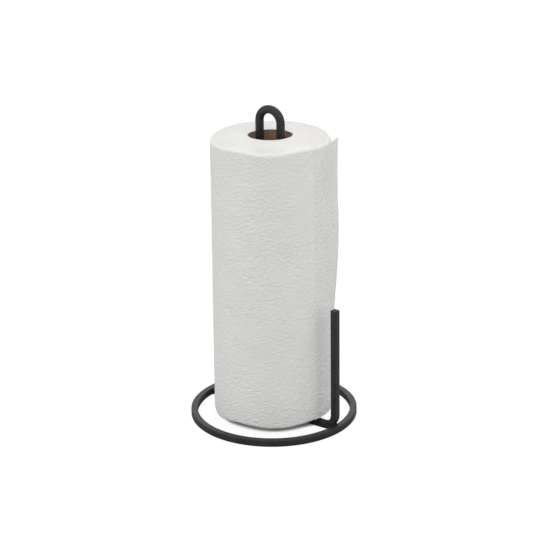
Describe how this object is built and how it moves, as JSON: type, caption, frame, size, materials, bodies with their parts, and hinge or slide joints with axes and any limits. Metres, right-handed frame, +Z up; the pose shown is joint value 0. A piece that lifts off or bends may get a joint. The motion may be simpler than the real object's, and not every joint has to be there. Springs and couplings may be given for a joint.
{
  "type": "countertop paper towel holder with a roll",
  "caption": "Black steel ring base with a cross bar turned up into a guide arm and a hairpin post that carries a lift-off roll of paper towels.",
  "frame": {"origin": "centre of the base ring, on the counter it stands on", "axes": "+Z up along the roll's axis, +X along the cross bar towards the guide arm"},
  "size_m": [0.1656, 0.1656, 0.3184],
  "materials": {
    "black_powder_coat": "matte",
    "brown_cardboard": "matte",
    "wound_towel": "matte",
    "towel_sheet": "matte"
  },
  "bodies": {
    "holder": {"base_ring": "black_powder_coat", "cross_bar_and_arm": "black_powder_coat", "loop_post": "black_powder_coat", "arm_weld": "black_powder_coat", "far_weld_left": "black_powder_coat", "far_weld_right": "black_powder_coat", "post_weld_arm_side_outer": "black_powder_coat", "post_weld_arm_side_inner": "black_powder_coat", "post_weld_far_side_outer": "black_powder_coat", "post_weld_far_side_inner": "black_powder_coat"},
    "core": {"cardboard_core": "brown_cardboard"},
    "roll": {"paper_roll": "wound_towel", "loose_sheet": "towel_sheet"}
  },
  "joints": [
    {"name": "roll_lift", "type": "slide", "parent": "holder", "child": "core", "axis": [0, 0, 1], "range_m": [0, 0.33]},
    {"name": "roll_spin", "type": "hinge", "parent": "core", "child": "roll", "pos_m": [0, 0, 0.1], "axis": [0, 0, 1], "continuous": true}
  ]
}
